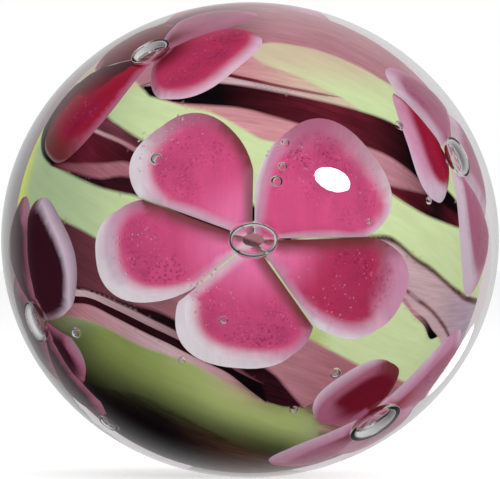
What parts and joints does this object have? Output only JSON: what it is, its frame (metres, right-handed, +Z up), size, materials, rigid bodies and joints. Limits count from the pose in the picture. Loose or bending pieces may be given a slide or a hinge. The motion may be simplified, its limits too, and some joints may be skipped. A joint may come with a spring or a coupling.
{
  "type": "glass marble",
  "caption": "Round handmade-look glass marble: a green core with curving dark and mauve bands, pink petal flowers and trapped bubbles under thick clear glass.",
  "frame": {"origin": "middle of the marble", "axes": "+Z up through the crown, -Y out through the middle of the main flower, +X to the right as seen from there"},
  "size_m": [0.038, 0.038, 0.0362],
  "materials": {
    "clear": "polished clear glass",
    "green": "opaque grey-green glass",
    "mauve": "opaque mauve glass",
    "pale": "opaque pale pinkish glass",
    "purple": "dark purple-red glass",
    "black": "near-black glass",
    "pink": "pink glass with fine bubbles",
    "white": "opaque white glass"
  },
  "bodies": {
    "root": {"clear_casing": "clear", "green_core": "green", "crown_band": "mauve", "rose_band": "mauve", "top_line": "purple", "pale_strip": "pale", "purple_band": "purple", "mauve_band": "mauve", "dark_band": "black", "wedge_dark": "black", "wedge_thread": "pale", "wedge_maroon": "purple", "wedge_mauve": "mauve", "wedge_low_dark": "black", "wedge_pale": "pale", "wedge_line": "black", "low_mauve": "mauve", "low_black": "black", "low_pale_line": "pale", "low_black_line": "black", "low_rose": "mauve", "corner_dark": "black", "base_dark": "black", "white_front": "white", "white_upper_left": "white", "white_right": "white", "white_lower_right": "white", "white_left": "white", "white_back": "white", "petal_front_1": "pink", "petal_front_2": "pink", "petal_front_3": "pink", "petal_front_4": "pink", "petal_front_5": "pink", "petal_upper_left_1": "pink", "petal_upper_left_2": "pink", "petal_upper_left_3": "pink", "petal_upper_left_4": "pink", "petal_right_1": "pink", "petal_right_2": "pink", "petal_right_3": "pink", "petal_right_4": "pink", "petal_lower_right_1": "pink", "petal_lower_right_2": "pink", "petal_lower_right_3": "pink", "petal_lower_right_4": "pink", "petal_left_1": "pink", "petal_left_2": "pink", "petal_left_3": "pink", "petal_left_4": "pink", "petal_left_5": "pink", "petal_back_1": "pink", "petal_back_2": "pink", "petal_back_3": "pink", "petal_back_4": "pink", "petal_back_5": "pink"}
  },
  "joints": []
}
